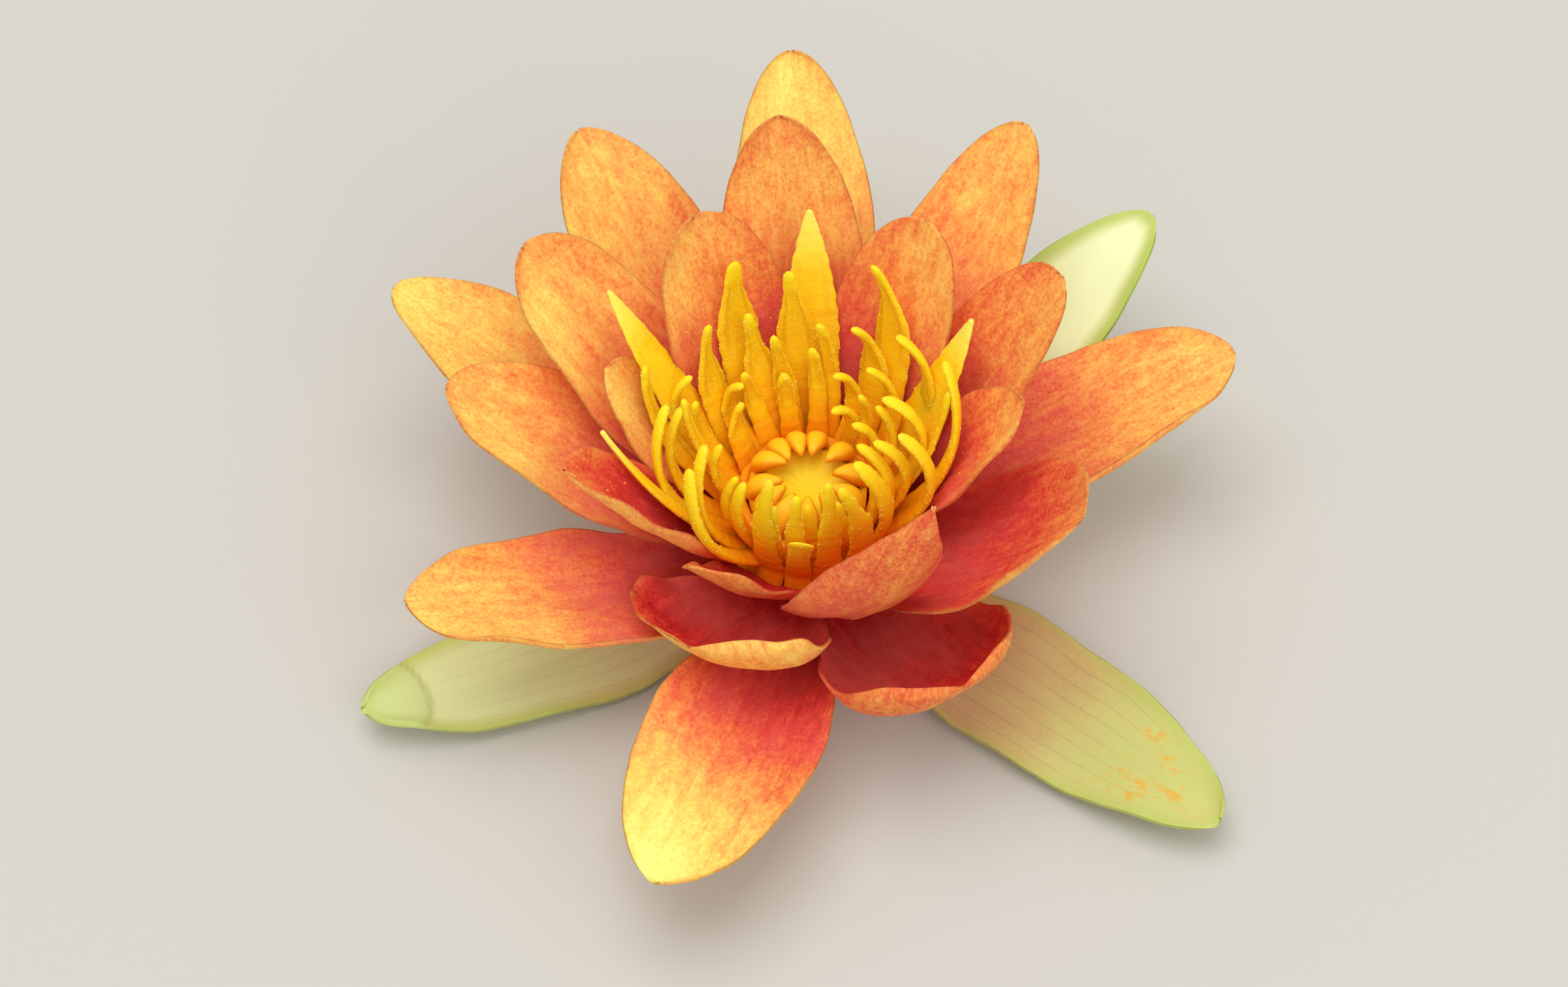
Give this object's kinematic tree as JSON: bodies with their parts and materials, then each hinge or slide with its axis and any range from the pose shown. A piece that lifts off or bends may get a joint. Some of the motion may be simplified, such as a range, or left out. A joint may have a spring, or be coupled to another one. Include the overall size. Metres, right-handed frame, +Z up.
{
  "type": "water lily flower",
  "caption": "Open water lily bloom with layered orange petals, green sepals, a ring of yellow stamens and a golden stigma disc, picked with a short stalk.",
  "frame": {"origin": "middle of the outline of the flower on the surface that it rests on, with the cut face of the stalk at z = 0", "axes": "+Z up out of the flower, -Y towards the front that the picture looks from, +X to the right in that view"},
  "size_m": [0.1098, 0.1084, 0.0497],
  "materials": {
    "sepal": "soft waxy green",
    "petal_outer": "soft waxy petal",
    "petal_middle": "soft waxy petal",
    "petal_inner": "soft waxy petal",
    "receptacle": "soft waxy stalk",
    "stamen": "waxy",
    "style": "waxy",
    "stigma_disc": "moist waxy"
  },
  "bodies": {
    "root": {"sepal_front_right": "sepal", "sepal_front_left": "sepal", "sepal_back_right": "sepal", "sepal_back_left": "sepal", "petal_outer_back": "petal_outer", "petal_outer_back_left": "petal_outer", "petal_outer_back_right": "petal_outer", "petal_outer_left": "petal_outer", "petal_outer_front_left": "petal_outer", "petal_outer_front": "petal_outer", "petal_outer_right": "petal_outer", "petal_middle_back": "petal_middle", "petal_middle_back_left": "petal_middle", "petal_middle_left": "petal_middle", "petal_middle_right": "petal_middle", "petal_middle_front_left": "petal_middle", "petal_middle_front_right": "petal_middle", "petal_middle_back_right": "petal_middle", "petal_inner_back_left": "petal_inner", "petal_inner_back_right": "petal_inner", "petal_inner_left": "petal_inner", "petal_inner_front_left": "petal_inner", "petal_inner_right": "petal_inner", "petal_inner_front_right": "petal_inner", "petal_inner_front": "petal_inner", "receptacle": "receptacle", "stamen_ring": "stamen", "style_ring": "style", "stigma_disc": "stigma_disc"}
  },
  "joints": []
}
